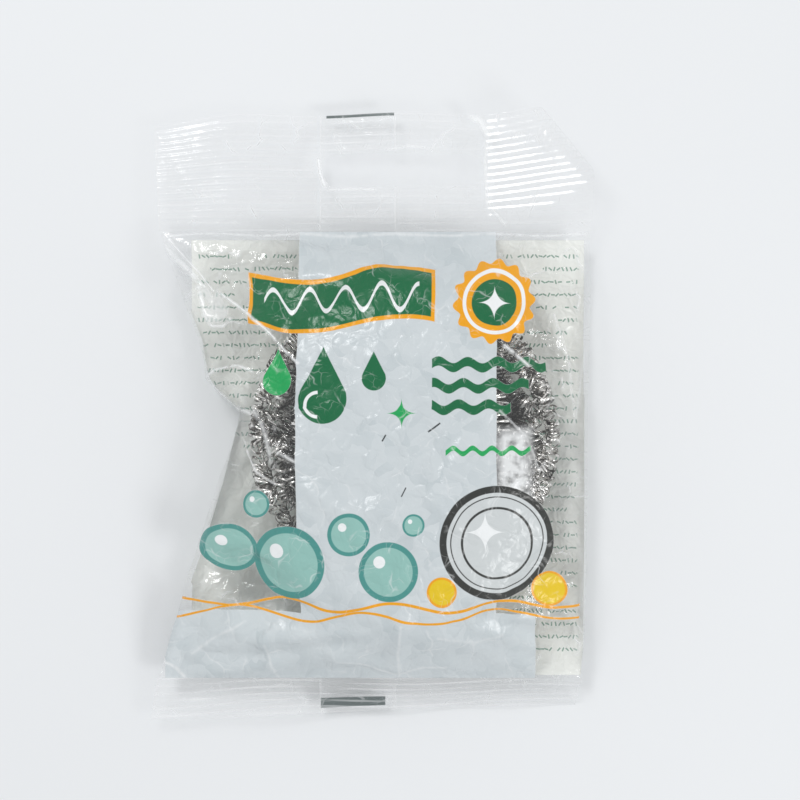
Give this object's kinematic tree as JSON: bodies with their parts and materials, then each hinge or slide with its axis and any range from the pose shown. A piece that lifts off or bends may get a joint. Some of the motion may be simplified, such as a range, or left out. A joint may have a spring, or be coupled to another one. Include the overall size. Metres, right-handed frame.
{
  "type": "pot scrubber in a hang pack",
  "caption": "Clear film hang pack with crimped ends and a hang slot in its header, holding a loose pot scrubber of curled steel strands.",
  "frame": {"origin": "on the table under the middle of the pack, which lies on its back", "axes": "+X to the right across the front, +Y up to the hang header, +Z out of the front, away from the table"},
  "size_m": [0.096, 0.133, 0.0253],
  "materials": {
    "printed_film": "clear film with a white printed strip",
    "back_film": "clear film with a pale printed back",
    "crimped_film": "clear film, heat crimped in fine ribs",
    "scrubber_steel": "bright rolled stainless ribbon"
  },
  "bodies": {
    "pouch": {"front_film": "printed_film", "back_film_left": "back_film", "back_film_right": "back_film", "back_fin_seam": "back_film"},
    "header": {"header_seal": "crimped_film", "header_fin_below_slot": "crimped_film", "header_fin_above_slot": "crimped_film"},
    "tail": {"tail_seal": "crimped_film", "tail_fin_end": "crimped_film"},
    "scrubber": {"core_strand_lower": "scrubber_steel", "core_strand_upper": "scrubber_steel", "middle_strand_lower": "scrubber_steel", "middle_strand_upper": "scrubber_steel", "rim_strand": "scrubber_steel"}
  },
  "joints": [
    {"name": "header_fold", "type": "hinge", "parent": "pouch", "child": "header", "pos_m": [0, 0.0404, 0.006], "axis": [1, 0, 0], "range_deg": [-110, 110], "stiffness_Nm_per_rad": 0.004},
    {"name": "tail_fold", "type": "hinge", "parent": "pouch", "child": "tail", "pos_m": [0, -0.058, 0.006], "axis": [-1, 0, 0], "range_deg": [-110, 110], "stiffness_Nm_per_rad": 0.0008},
    {"name": "scrubber_shift", "type": "slide", "parent": "pouch", "child": "scrubber", "axis": [0, 1, 0], "range_m": [-0.01, 0.002]}
  ]
}
